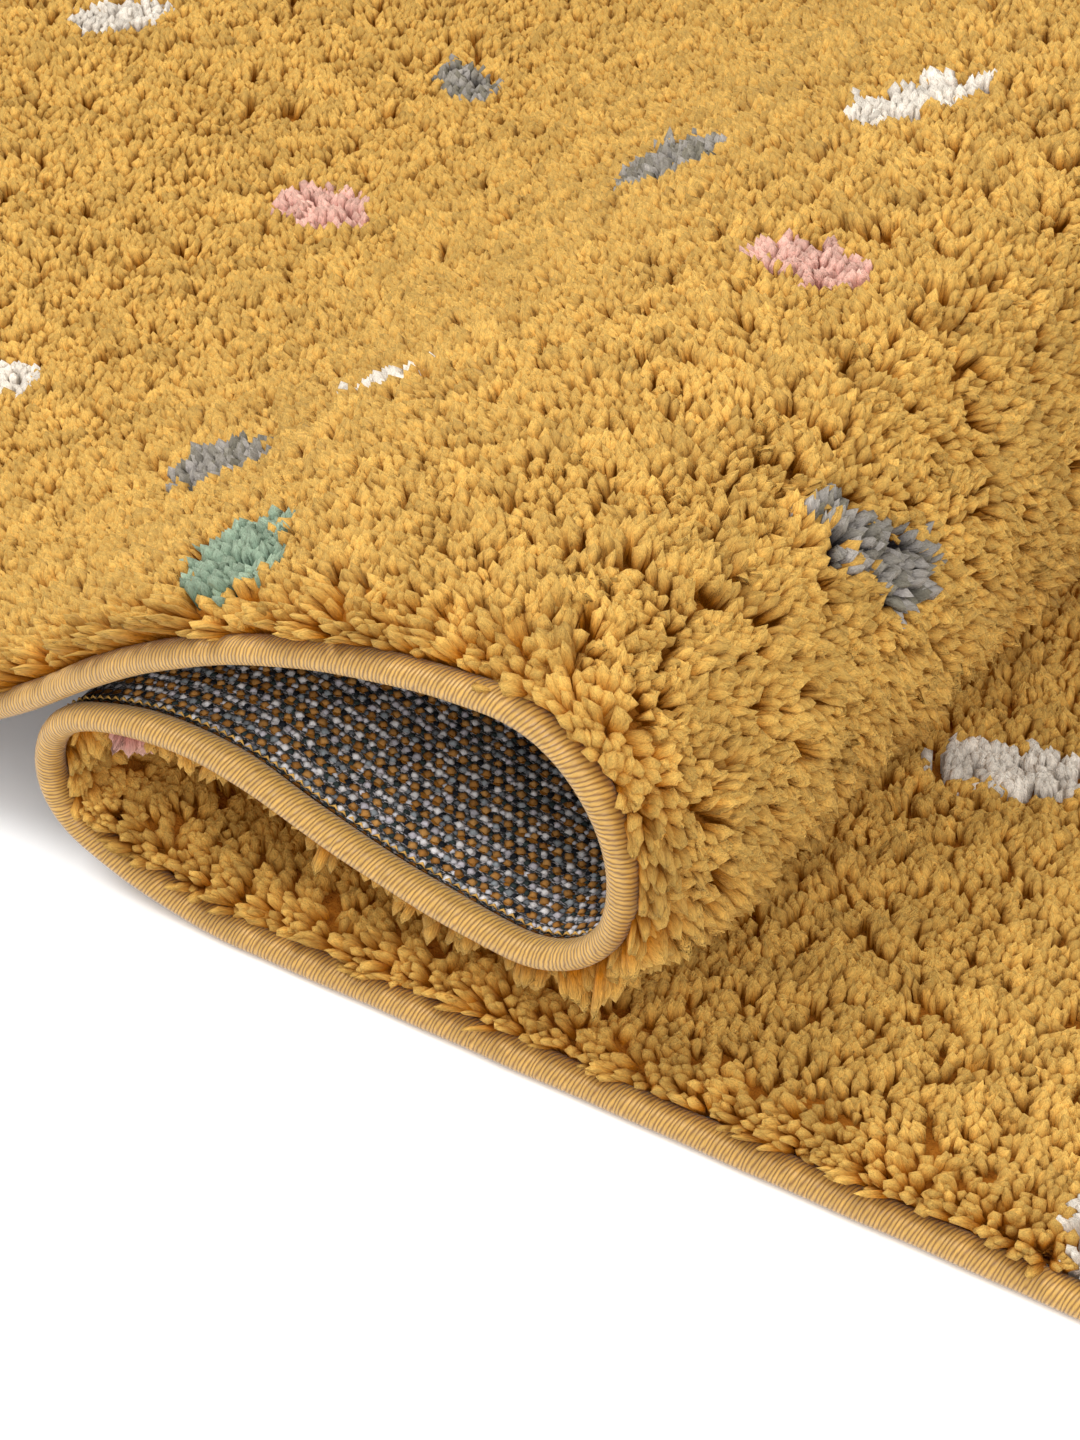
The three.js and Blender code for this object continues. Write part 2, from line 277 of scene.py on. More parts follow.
def sheet_faces(rows, columns):
    """Faces of a closed sheet, whose points are a grid of its bottom and then a grid of its top:
    both grids, the bottom one turned over, and a wall between their rims."""
    count = rows * columns
    index = np.arange(count).reshape(rows, columns)
    corners = [index[:-1, :-1], index[:-1, 1:], index[1:, 1:], index[1:, :-1]]
    grid = np.stack(corners, axis=-1).reshape(-1, 4)
    loop = np.concatenate([index[:-1, 0], index[-1, :-1], index[:0:-1, -1], index[0, :0:-1]])
    following = np.roll(loop, -1)
    wall = np.stack([loop, following, following + count, loop + count], axis=1)
    return np.concatenate([grid[:, ::-1], grid + count, wall])


# Node helpers


class Graph:
    """Adds nodes to a tree and links them; an input's value is a socket or a plain number."""

    def __init__(self, tree):
        self.tree = tree

    def add(self, kind, inputs=None, **settings):
        node = self.tree.nodes.new(kind)
        for name, value in settings.items():
            setattr(node, name, value)
        self.fill(node, inputs or {})
        return node

    def fill(self, node, inputs):
        for socket, value in inputs.items():
            if isinstance(value, bpy.types.NodeSocket):
                self.tree.links.new(value, node.inputs[socket])
            else:
                node.inputs[socket].default_value = value

    def math(self, operation, first, second=0.0):
        return self.add("ShaderNodeMath", {0: first, 1: second}, operation=operation).outputs[0]

    def weigh(self, first, share, second, second_share):
        """The sum of two values, each times its share."""
        parts = [self.math("MULTIPLY", first, share), self.math("MULTIPLY", second, second_share)]
        return self.math("ADD", *parts)

    def vector(self, operation, first, second):
        return self.add("ShaderNodeVectorMath", {0: first, 1: second}, operation=operation).outputs[0]

    def attribute(self, name, output="Fac"):
        return self.add("ShaderNodeAttribute", attribute_name=name).outputs[output]

    def noise(self, vector, scale, detail=2.0, roughness=0.5):
        inputs = {"Vector": vector, "Scale": scale, "Detail": detail, "Roughness": roughness}
        return self.add("ShaderNodeTexNoise", inputs).outputs["Fac"]

    def group(self, tree, inputs):
        return self.add("ShaderNodeGroup", inputs, node_tree=tree).outputs[0]

    def ramp(self, value, low, high, to_low=0.0, to_high=1.0):
        inputs = {"Value": value, "From Min": low, "From Max": high, "To Min": to_low, "To Max": to_high}
        return self.add("ShaderNodeMapRange", inputs, clamp=True).outputs[0]

    def mix(self, share, first, second, blend="MIX"):
        node = self.add("ShaderNodeMix", data_type="RGBA", blend_type=blend)
        self.fill(node, {0: share, 6: first, 7: second})
        return node.outputs[2]

    def bump(self, shader, height, distance, strength, normal=None):
        """Bumps in the shader's normal, from a height and the distance that it stands for."""
        inputs = {"Height": height, "Distance": distance, "Strength": strength}
        if normal is not None:
            inputs["Normal"] = normal
        node = self.add("ShaderNodeBump", inputs)
        self.fill(shader, {"Normal": node.outputs[0]})


def dye(red, green, blue):
    """A colour named in the usual 0 to 255 steps, as the linear light it sends back, by the
    standard curve of screens."""
    steps = np.array([red, green, blue]) / 255
    linear = np.where(steps <= 0.04045, steps / 12.92, ((steps + 0.055) / 1.055) ** 2.4)
    return (*linear.tolist(), 1.0)


def make_group(name, inputs, outputs):
    """An empty node group with the named sockets and their kinds, and its two end nodes."""
    tree = bpy.data.node_groups.new(name, "ShaderNodeTree")
    for way, sockets in (("INPUT", inputs), ("OUTPUT", outputs)):
        for label, kind in sockets.items():
            tree.interface.new_socket(name=label, in_out=way, socket_type=f"NodeSocket{kind}")
    entry = tree.nodes.new("NodeGroupInput")
    leave = tree.nodes.new("NodeGroupOutput")
    return tree, Graph(tree), entry, leave


def fibre_group():
    """Fine fibres of a yarn: noise drawn out along it, with a coarser noise for its fluff."""
    inputs = {"Place": "Vector", "Fineness": "Float", "Fluff": "Float"}
    tree, graph, entry, leave = make_group("yarn_fibres", inputs, {"Fibres": "Float"})
    place_in, fineness, fluff = list(entry.outputs)[:3]
    fine = graph.noise(place_in, fineness, detail=2.0, roughness=0.6)
    fluffy = graph.noise(place_in, fluff, detail=3.0, roughness=0.65)
    graph.fill(leave, {"Fibres": graph.weigh(fine, 0.5, fluffy, 0.5)})
    return tree


def dye_group():
    """The uneven take-up of dye: a colour made lighter or darker by a yarn's own number, over a
    spread, and by a shade."""
    inputs = {"Dye": "Color", "Yarn": "Float", "Spread": "Float", "Shade": "Float"}
    tree, graph, entry, leave = make_group("dye_take_up", inputs, {"Colour": "Color"})
    plain, yarn, spread, shade = list(entry.outputs)[:4]
    own = graph.math("MULTIPLY", graph.math("SUBTRACT", yarn, 0.5), spread)
    level = graph.math("MULTIPLY", graph.math("ADD", own, 1.0), shade)
    grey = graph.add("ShaderNodeCombineColor", {0: level, 1: level, 2: level}).outputs[0]
    graph.fill(leave, {"Colour": graph.mix(1.0, plain, grey, "MULTIPLY")})
    return tree


FIBRES = fibre_group()
DYE_TAKE_UP = dye_group()


def start_material(name, **surface):
    """A new material: its graph and its shader, with the given plain values on the shader."""
    material = bpy.data.materials.new(name)
    material.use_nodes = True
    tree = material.node_tree
    tree.nodes.clear()
    graph = Graph(tree)
    shader = graph.add("ShaderNodeBsdfPrincipled")
    for socket, value in surface.items():
        shader.inputs[socket.replace("_", " ")].default_value = value
    output = graph.add("ShaderNodeOutputMaterial", {"Surface": shader.outputs[0]})
    output.is_active_output = True
    return material, graph, shader


# The look of a yarn: the fineness of its fibres and of its fluff, how they make it darker and
# lighter, from two levels of the noise to two shades, and how far one yarn differs from another
Look = namedtuple("Look", "fineness fluff streaks spread")
PILE_LOOK = Look(3.2, 1.2, (0.38, 0.62, 0.76, 1.18), 0.6)
BINDING_LOOK = Look(1.7, 0.45, (0.36, 0.64, 0.86, 1.1), 0.16)
KNOT_LOOK = Look(2.2, 1.0, (0.3, 0.7, 0.75, 1.1), 0.4)


def colour_yarn(graph, shader, look, place_in, plain, yarn):
    """Colours the shader by a plain dye with a look's streaks and spread over it. Returns the
    fibres, for the bumps."""
    sockets = {"Place": place_in, "Fineness": look.fineness, "Fluff": look.fluff}
    fibres = graph.group(FIBRES, sockets)
    streaks = graph.ramp(fibres, *look.streaks)
    sockets = {"Dye": plain, "Yarn": yarn, "Spread": look.spread, "Shade": streaks}
    graph.fill(shader, {"Base Color": graph.group(DYE_TAKE_UP, sockets)})
    return fibres


# The colours of the pile: the share of painted shade, a deep orange, at the root and of the painted
# highlight, a pale shade, at the tip, where from root to tip the painted root shade starts to fade,
# and a side's share in its shading
ROOT_SHADE_SHARE = 0.85
TIP_HIGHLIGHT_SHARE = 0.17
PAINTED_TIP_HIGHLIGHT = dye(250, 238, 190)
ROOT_SHADE_FADES_FROM = 0.55
SIDE_SHARE = 0.45


def pile_material():
    """Soft cut yarn, painted deep orange at the root as shade and pale at the tip as a painted
    highlight.
    Light goes round in its loose fibres, so the shading turns with the pile as a whole as much as
    with a yarn's own side, and a painted glow sends a little deep orange light back out."""
    material, graph, shader = start_material(
        "pile_yarn", Roughness=0.6, Specular_IOR_Level=0.15, Emission_Strength=0.08,
        Sheen_Weight=0.09, Sheen_Roughness=0.45, Sheen_Tint=dye(255, 225, 170),
    )
    own = graph.attribute("dye", "Color")
    # Painted shade: the dye times itself, a deep orange, mixed in at the root where the pile lies in
    # shade
    deep = graph.mix(1.0, own, own, "MULTIPLY")
    root_shaded = graph.mix(ROOT_SHADE_SHARE, own, deep)
    # Painted highlight: a pale shade mixed in at the tip of each yarn end
    tip_highlighted = graph.mix(TIP_HIGHLIGHT_SHARE, own, PAINTED_TIP_HIGHLIGHT)
    along_yarn = graph.mix(graph.ramp(graph.attribute("reach"), ROOT_SHADE_FADES_FROM, 1.0), root_shaded, tip_highlighted)
    place_in = graph.attribute("fibre", "Vector")
    fibres = colour_yarn(graph, shader, PILE_LOOK, place_in, along_yarn, graph.attribute("yarn"))
    # Painted glow: the deep orange shines a little by itself, for light scattered in the pile
    graph.fill(shader, {"Emission Color": deep})
    side = graph.add("ShaderNodeNewGeometry").outputs["Normal"]
    own_side = graph.vector("MULTIPLY", side, (SIDE_SHARE, SIDE_SHARE, SIDE_SHARE))
    soft = graph.vector("ADD", own_side, graph.attribute("stand", "Vector"))
    graph.bump(shader, fibres, distance=0.0007, strength=1.0, normal=soft)
    return material


def ground_material():
    """The depth of the pile between the yarn ends, in painted shade."""
    material, graph, shader = start_material("pile_depth_painted_shade", Roughness=0.95, Specular_IOR_Level=0.1)
    place_in = graph.add("ShaderNodeTexCoord").outputs["Object"]
    clumps = graph.noise(place_in, scale=420.0, detail=3.0, roughness=0.6)
    # Painted shade: both colours are a darker orange than the yarn, for the shade deep in the pile; the
    # clumps between them are random tone
    colour = graph.mix(clumps, dye(122, 68, 16), dye(188, 122, 40))
    graph.fill(shader, {"Base Color": colour})
    graph.bump(shader, clumps, distance=0.002, strength=1.0)
    return material


def binding_material():
    """Silky yarn wound in close slanting turns. The place round the rim and the slant count the
    turns. The part of a turn gives the ridge, with painted shade in the groove between turns, and
    the turn's own number its shade and height."""
    material, graph, shader = start_material(
        "binding_yarn", Roughness=0.4, Specular_IOR_Level=0.45, Sheen_Weight=0.2
    )
    winding = graph.add("ShaderNodeUVMap", uv_map="winding").outputs[0]
    parts = graph.add("ShaderNodeSeparateXYZ", {0: winding})
    fibre = graph.attribute("fibre", "Vector")
    wander = graph.noise(fibre, scale=0.25, detail=1.0)
    straight = graph.weigh(parts.outputs[0], 1 / WRAP_PITCH, wander, WRAP_WANDER)
    turns = graph.math("ADD", straight, graph.math("MULTIPLY", parts.outputs[1], WRAP_SLANT))
    turn_number = {"W": graph.math("FLOOR", turns)}
    own = graph.add("ShaderNodeTexWhiteNoise", turn_number, noise_dimensions="1D").outputs[0]
    from_middle = graph.math("ABSOLUTE", graph.math("SUBTRACT", graph.math("FRACT", turns), 0.5))
    ridge = graph.ramp(from_middle, 0.52, 0.18)
    # Painted shade: the groove between turns is darker than the ridge, for the shade that falls there
    between = graph.mix(ridge, dye(122, 82, 32), dye(198, 154, 76))
    fibres = colour_yarn(graph, shader, BINDING_LOOK, fibre, between, own)
    height = graph.weigh(ridge, graph.ramp(own, 0, 1, 0.7, 1.1), fibres, 0.35)
    graph.bump(shader, height, distance=0.0003, strength=0.8)
    return material


def knot_mask(graph, cells, halves):
    """1 inside a knot and 0 outside: how far the place is from the middle of its cell, each way
    over the knot's half size."""
    squares = []
    for cell, half in zip(cells, halves):
        from_middle = graph.math("SUBTRACT", graph.math("FRACT", cell), 0.5)
        squares.append(graph.math("POWER", graph.math("DIVIDE", from_middle, half), 2.0))
    return graph.ramp(graph.math("ADD", *squares), 0.75, 1.15, 1.0, 0.0)


def backing_material():
    """The back of the weave: mustard knots and white knots in turn, on dark and grey yarns."""
    material, graph, shader = start_material("backing_cloth", Roughness=0.85, Specular_IOR_Level=0.2)
    flat = graph.attribute("flat", "Vector")
    parts = graph.add("ShaderNodeSeparateXYZ", {0: flat})
    wobble = graph.math("SUBTRACT", graph.noise(flat, scale=0.5, detail=1.0), 0.5)
    shift = graph.math("MULTIPLY", wobble, 0.35)
    cells = []
    for part, pitch in zip(parts.outputs, (KNOT_ALONG, KNOT_ACROSS)):
        cells.append(graph.math("ADD", graph.math("DIVIDE", part, pitch), shift))
    knots = knot_mask(graph, cells, (0.4, 0.21))
    next_cells = [graph.math("ADD", cell, 0.5) for cell in cells]
    whites = knot_mask(graph, next_cells, (0.25, 0.17))
    stretched = graph.vector("MULTIPLY", flat, (0.9, 2.6, 1.0))
    threads = graph.noise(stretched, scale=1.0, detail=2.0, roughness=0.6)
    patches = graph.noise(flat, scale=0.7, detail=2.0)
    dark = graph.mix(patches, dye(20, 22, 28), dye(78, 84, 82))
    yarns = graph.mix(graph.ramp(threads, 0.52, 0.62), dark, dye(196, 188, 190))
    with_white = graph.mix(whites, yarns, dye(214, 208, 208))
    graph.fill(shader, {"Base Color": graph.mix(knots, with_white, dye(170, 112, 40))})
    raised = graph.math("MAXIMUM", knots, whites)
    height = graph.math("ADD", raised, graph.math("MULTIPLY", threads, 0.6))
    graph.bump(shader, height, distance=0.0008, strength=0.9)
    return material


def knot_material():
    """The yarn of the knots and of the stitches on the back."""
    material, graph, shader = start_material("backing_knots", Roughness=0.8, Specular_IOR_Level=0.25)
    place_in = graph.attribute("fibre", "Vector")
    own = graph.attribute("dye", "Color")
    fibres = colour_yarn(graph, shader, KNOT_LOOK, place_in, own, graph.attribute("yarn"))
    graph.bump(shader, fibres, distance=0.0005, strength=0.7)
    return material


# The dyes of the pile and of its dots
MUSTARD = dye(210, 159, 41)
WHITE = dye(230, 221, 212)
GREY = dye(126, 121, 123)
PINK = dye(226, 174, 164)
GREEN = dye(130, 160, 142)

# The dots of coloured yarn: place of the middle along and across the flat rug, length and width,
# and the turn of the long way from the along direction
Dot = namedtuple("Dot", "colour along y length width turn")
DOTS = [
    Dot(WHITE, 1040, 375, 38, 20, 128),
    Dot(GREY, 906, 397, 37, 20, 35),
    Dot(GREY, 734, 290, 69, 31, 39),
    Dot(WHITE, 655, 301, 40, 23, 132),
    Dot(PINK, 889, 297, 38, 25, 18),
    Dot(PINK, 625, 198, 36, 24, 16),
    Dot(WHITE, 723, 141, 38, 12, 13),
    Dot(WHITE, 911, 156, 40, 28, 150),
    Dot(GREY, 765, 114, 47, 24, 20),
    Dot(GREEN, 680, 31, 42, 24, 52),
    Dot(GREY, 564, 110, 35, 18, 132),
    Dot(WHITE, 122, 153, 40, 20, 156),
    Dot(WHITE, 28, 21, 26, 16, 90),
    Dot(PINK, 370, 16, 22, 14, 0),
]

# The dots that the view doesn't show: how many, how far apart and from the rim, and their sizes
EXTRA_DOTS = 22
DOT_APART = 88.0
DOT_INSETS = (25.0, 20.0)
DOT_LENGTHS = (30, 48)
DOT_WIDTHS = (15, 26)
DOT_TURNS = (100, 160)

# What shows in the view, from where to where along the rug and how far in from the near edge: the
# bottom layer, the pile that hangs between the layers, and the right fold and top layer
SHOWN = [(0, 200, 250), (200, 600, 120), (480, RUG_LENGTH, 190)]

# The top layer shows further in, up to the view's right and far borders, which are lines on the
# flat rug, each with a place along, the y there, and the slope
TOP_START = 480
BORDERS = [(560, 240, 2.2), (640, 400, 0.33)]

# The outline of a dot differs end by end between these shares of its size, and the light of a
# grey dot's ends between these shares of the grey
ROUGH_OUTLINE = (0.85, 1.15)
GREY_MIX = (0.4, 1.66)


def in_view(along, y):
    """Whether a place of the flat rug shows in the view. The dots that show are in the table."""
    on_top = along > TOP_START and y < min(there + slope * (along - at) for at, there, slope in BORDERS)
    return on_top or any(start <= along < end and y < across for start, end, across in SHOWN)


def all_dots(random):
    """The dots that show in the view, and more of the same kind over the rest of the rug, each
    at a fair distance from the others."""
    dots = list(DOTS)
    colours = [WHITE, GREY, PINK, GREEN]
    while len(dots) < len(DOTS) + EXTRA_DOTS:
        along = random.uniform(DOT_INSETS[0], RUG_LENGTH - DOT_INSETS[0])
        y = random.uniform(DOT_INSETS[1], RUG_WIDTH - DOT_INSETS[1])
        apart = min(math.hypot(along - dot.along, y - dot.y) for dot in dots)
        if in_view(along, y) or apart < DOT_APART:
            continue
        colour = colours[int(random.integers(len(colours)))]
        length = random.uniform(*DOT_LENGTHS)
        width = random.uniform(*DOT_WIDTHS)
        dots.append(Dot(colour, along, y, length, width, random.uniform(*DOT_TURNS)))
    return dots


def yarn_dyes(along, y, random):
    """The dye of each yarn end: mustard, or a dot's own inside its oval, whose outline is
    roughened end by end. The same rough number mixes dark and light ends in a grey dot."""
    dyes = np.full((len(along), 3), MUSTARD[:3])
    rough = random.uniform(*ROUGH_OUTLINE, len(along))
    mixed = np.interp(rough, ROUGH_OUTLINE, GREY_MIX)
    for dot in all_dots(random):
        turn = math.radians(dot.turn)
        away_along = along - dot.along
        away_y = y - dot.y
        lengthways = (away_along * math.cos(turn) + away_y * math.sin(turn)) / (dot.length / 2)
        sideways = (away_y * math.cos(turn) - away_along * math.sin(turn)) / (dot.width / 2)
        inside = lengthways**2 + sideways**2 < rough
        dyes[inside] = dot.colour[:3]
        if dot.colour == GREY:
            dyes[inside] *= mixed[inside, None]
    return dyes


# Pile

# The grid of yarn ends: its steps along and across, how far an end strays from it, the least bend
# of the cloth where more ends stand in between and their share, and the bend where the pile is
# fully fanned out
END_ALONG = 2.12
END_ACROSS = 2.1
END_STRAYS = 0.45
FAN_START = 0.008
PARTED_SHARE = 0.6
FAN_FULL = 0.03

# The row at the rim, where the grid ends too: how far in it stands and how much less at a corner,
# its step, and the most that an end strays along it, as a share of the step; and how far in from it
# the ends still lean out, by a power of the way
PILE_INSET = 10.0
CORNER_SPARE = 1.0
RIM_STEP = 1.5
RIM_STRAYS = 0.3
RIM_REACH = 15.0
RIM_POWER = 1.5

# The stretch along and across the rug that is shut up between the layers
HIDDEN_ALONG = (165, 498)
HIDDEN_ACROSS = (74, 526)

# The ends gather in clumps of a yarn and in wider tufts: the size of a cell that holds one, and the
# part of the cell that its middle lies in
YARN_CELL = 4.9
TUFT_CELL = 12.0
CLUMP_MIDDLES = (0.15, 0.85)


def clump_pull(along, y, cell, random):
    """For each strand, the way to the middle of its clump, and the clump's own four numbers. A
    clump is the cell of the nearest of a jittered grid of points."""
    cells = (int(RUG_LENGTH / cell) + 3, int(RUG_WIDTH / cell) + 3)
    jitter = random.uniform(*CLUMP_MIDDLES, (*cells, 2))
    character = random.uniform(-1, 1, (*cells, 4))
    strand = np.stack([along, y], axis=1)
    corner = np.floor(strand / cell).astype(int)
    best = np.full(len(along), np.inf)
    pull = np.zeros((len(along), 2))
    own = np.zeros((len(along), 4))
    for step in np.ndindex(3, 3):
        near = np.clip(corner + step, 0, np.array(cells) - 1)
        away = (near - 1 + jitter[tuple(near.T)]) * cell - strand
        distance = np.hypot(*away.T)
        closer = distance < best
        best = np.where(closer, distance, best)
        pull[closer] = away[closer]
        own[closer] = character[tuple(near[closer].T)]
    return pull, own


def root_grid(shift, random):
    """A grid of yarn ends on the flat rug, moved by a share of its steps, its rows moved in turn
    by half a step, and each end a little out of place."""
    along = np.arange(PILE_INSET + shift * END_ALONG, RUG_LENGTH - PILE_INSET, END_ALONG)
    y = np.arange(PILE_INSET, RUG_WIDTH - PILE_INSET, END_ACROSS)
    row = np.repeat(np.arange(len(along)), len(y))
    along, y = (grid.ravel() for grid in np.meshgrid(along, y, indexing="ij"))
    along = along + random.normal(0, END_STRAYS, along.shape)
    y = y + random.normal(0, END_STRAYS, y.shape) + (row % 2 + shift) * END_ACROSS / 2
    return along, y


def rim_roots(random):
    """Yarn ends in one row all round the rim, close beside the binding."""
    count = int(rim_length() / RIM_STEP)
    distance = (np.arange(count) + random.uniform(-RIM_STRAYS, RIM_STRAYS, count)) * RIM_STEP
    return rim_path(distance, PILE_INSET)[0].T


def yarn_roots(random):
    """Places of the yarn ends on the flat rug: a grid, more in between where the pile fans out
    and its yarns part, and a close row at the rim, less those shut up between the layers."""
    along, y = root_grid(0.0, random)
    more_along, more_y = root_grid(0.5, random)
    parted = fan(more_along, np.clip(more_y, 0, RUG_WIDTH)) > FAN_START
    parted &= random.uniform(0, 1, len(parted)) < PARTED_SHARE
    rim_along, rim_y = rim_roots(random)
    along = np.concatenate([along, more_along[parted], rim_along])
    y = np.concatenate([y, more_y[parted], rim_y])
    along = np.clip(along, PILE_INSET, RUG_LENGTH - PILE_INSET)
    y = np.clip(y, PILE_INSET, RUG_WIDTH - PILE_INSET)
    from_corner = np.hypot(
        np.maximum(0, CORNER_RADIUS - np.minimum(along, RUG_LENGTH - along)),
        np.maximum(0, CORNER_RADIUS - np.minimum(y, RUG_WIDTH - y)),
    )
    inside_corner = from_corner < CORNER_RADIUS - PILE_INSET + CORNER_SPARE
    hidden = (along > HIDDEN_ALONG[0]) & (along < HIDDEN_ALONG[1])
    hidden &= (y > HIDDEN_ACROSS[0]) & (y < HIDDEN_ACROSS[1])
    kept = inside_corner & ~hidden
    return along[kept], y[kept]


def rim_lean(along, y):
    """How far the ends near the rim lean out over the binding, along and across the rug, as a
    share: all in the row at the rim and nothing past its reach."""
    outward = []
    for from_low, whole in ((along, RUG_LENGTH), (y, RUG_WIDTH)):
        insets = np.stack([from_low, whole - from_low]) - PILE_INSET
        to_low, to_high = np.clip(1 - insets / RIM_REACH, 0, 1) ** RIM_POWER
        outward.append(to_high - to_low)
    return np.stack(outward, axis=1)


# The kinds of yarn end: full ones at the rim, where their sides show, and plain ones elsewhere.
# Each has its sides, the height of its root, the share of the pile's way in its shading, and its
# rings, by their share of the way from root to tip and of the thickness.
Kind = namedtuple("Kind", "sides root stand rings")
KINDS = {
    "full": Kind(4, 1.6, 0.15, [(0.42, 0.9), (0.86, 0.95)]),
    "plain": Kind(3, 2.4, 0.4, [(0.86, 1.0)]),
}
FULL_FROM = 0.25

# What makes up a measure of the yarn ends: its middle, and its changes where the pile fans out,
# where it hangs down, by clump, by tuft and by strand
Measure = namedtuple("Measure", "middle fan hanging clump tuft strand")
OVER_RIM = Measure(8.0, 0, -6.0, 1.8, 1.6, 1.0)
PROUD = Measure(1.5, 0.9, 0, 1.2, 0.8, 1.0)
SHORT_AT_RIM = Measure(3.8, 1.5, 2.5, 1.6, 1.2, 2.0)
LEVEL = Measure(0.5, 0, 0, 0.26, 0.16, 0.07)

# The lean of an end: away from the middle of its clump and to the middle of its tuft, as shares of
# the way; with its clump and its tuft, more loosely where the pile fans out; and by itself
FROM_CLUMP = 0.05
TO_TUFT = 0.1
CLUMP_LEAN = 3.1
TUFT_LEAN = 2.2
FAN_LOOSE = 0.5
STRAY = 0.7
FAN_STRAY = 1.1
RIM_STRAY = 1.2

# How much the heights of strands differ, and how they drop with the square of the way to the
# middle of the clump and of the tuft
STRAND_HEIGHT = 0.35
FAN_STRAND_HEIGHT = 0.55
CLUMP_DROP = 0.22
TUFT_DROP = 0.02

# The thickness of the ends, and its changes where the pile fans out and at the rim
END_RADII = (1.7, 2.35)
FAN_RADIUS = 0.1
RIM_FAN_RADIUS = 0.5
RIM_RADIUS = -0.3


def yarn_ends(along, y, random):
    """All that shapes the yarn ends: the place, lean, height, thickness and turn of each, its dye,
    its own number and its kind."""
    count = len(along)
    to_clump, clump = clump_pull(along, y, YARN_CELL, random)
    to_tuft, tuft = clump_pull(along, y, TUFT_CELL, random)
    spread = np.clip(fan(along, y) / FAN_FULL, 0, 1)
    edge = rim_lean(along, y)
    at_edge = np.clip(np.hypot(edge[:, 0], edge[:, 1]), 0, 1)
    hanging = np.clip(-cloth_axes(along, y)[2][:, 2], 0, 1)

    def total(measure, part, strand):
        by_place = measure.middle + measure.fan * spread + measure.hanging * hanging
        by_clump = measure.clump * clump[:, part] + measure.tuft * tuft[:, part]
        return by_place + by_clump + measure.strand * strand

    loose = (1 + FAN_LOOSE * spread)[:, None]
    lean = to_tuft * TO_TUFT - to_clump * FROM_CLUMP
    lean += (clump[:, :2] * CLUMP_LEAN + tuft[:, :2] * TUFT_LEAN) * loose
    over_rim = total(OVER_RIM, 0, random.normal(0, 1, count))
    stray = STRAY + FAN_STRAY * spread + RIM_STRAY * at_edge
    lean += random.normal(0, 1, (count, 2)) * stray[:, None] + edge * over_rim[:, None]

    strand = random.normal(0, 1, count) * (STRAND_HEIGHT + FAN_STRAND_HEIGHT * spread)
    height = pile_top(along, y) + total(PROUD, 2, strand)
    height -= CLUMP_DROP * (to_clump**2).sum(axis=1) + TUFT_DROP * (to_tuft**2).sum(axis=1)
    height -= at_edge * total(SHORT_AT_RIM, 1, random.uniform(-1, 1, count))

    level = total(LEVEL, 3, random.normal(0, 1, count))
    radius = random.uniform(*END_RADII, count) + FAN_RADIUS * spread
    return {
        "along": along,
        "y": y,
        "lean": lean,
        "height": height,
        "radius": radius + (RIM_FAN_RADIUS * spread + RIM_RADIUS) * at_edge,
        "turn": random.uniform(0, 2 * math.pi, count),
        "dye": yarn_dyes(along, y, random),
        "yarn": np.clip(level, 0, 1),
        "kind": np.where(at_edge > FULL_FROM, "full", "plain"),
    }


# How an end bends, how uneven its rings are round and along it, how far apart in the noise the
# fibres of the ends are taken, and the share of its height by which an end moves on in the noise
LEAN_POWER = 1.6
UNEVEN_ROUND = (0.75, 1.25)
UNEVEN_ALONG = 0.3
FIBRES_APART = 970.0
FIBRES_DRAWN = 0.24


def pile_piece(name, ends, chosen, kind, material, random):
    """One piece of the pile: a closed spindle for each chosen yarn end. A ring's centre goes up
    the pile's way by its height, and leans out by a power of its share of the way."""
    picked = {key: value[chosen] for key, value in ends.items()}
    sides = kind.sides
    middle, forward, pile_way = cloth_axes(picked["along"], picked["y"])
    across = np.broadcast_to([0.0, 1.0, 0.0], forward.shape)
    rings = np.array(kind.rings)
    shares = np.concatenate([[0.0], rings[:, 0], [1.0]])
    up = kind.root + shares * (picked["height"] - kind.root)[:, None]
    bent = shares**LEAN_POWER
    centres = middle[:, None] + up[..., None] * pile_way[:, None]
    centres += (picked["lean"][:, :1] * bent)[..., None] * forward[:, None]
    centres += (picked["lean"][:, 1:] * bent)[..., None] * across[:, None]
    radii = picked["radius"][:, None] * rings[:, 1]
    rough = random.uniform(*UNEVEN_ROUND, (*radii.shape, sides))
    points, angle = spindles(centres, radii, across, forward, sides, picked["turn"], rough)
    count, per_end = points.shape[:2]
    jag = random.normal(0, UNEVEN_ALONG, (count, per_end - 2))
    points[:, 1:-1] += jag[..., None] * pile_way[:, None]

    girth = np.repeat(radii, sides, axis=1)
    own = picked["yarn"][:, None] * FIBRES_APART
    around = [np.pad(wave(angle) * girth, ((0, 0), (1, 1))) + own for wave in (np.cos, np.sin)]
    drawn = spread_over_spindles(up, sides) * FIBRES_DRAWN
    fibre = np.stack([*around, drawn], axis=-1)
    reach = spread_over_spindles(np.tile(shares, (count, 1)), sides)
    values = {
        "reach": reach.ravel(),
        "fibre": fibre.reshape(-1, 3),
        "dye": np.repeat(picked["dye"], per_end, axis=0),
        "yarn": np.repeat(picked["yarn"], per_end),
        "stand": np.repeat(pile_way, per_end, axis=0) * kind.stand,
    }
    faces = spindle_faces(len(rings), sides, count)
    return make_piece(name, points.reshape(-1, 3), faces, material, values)


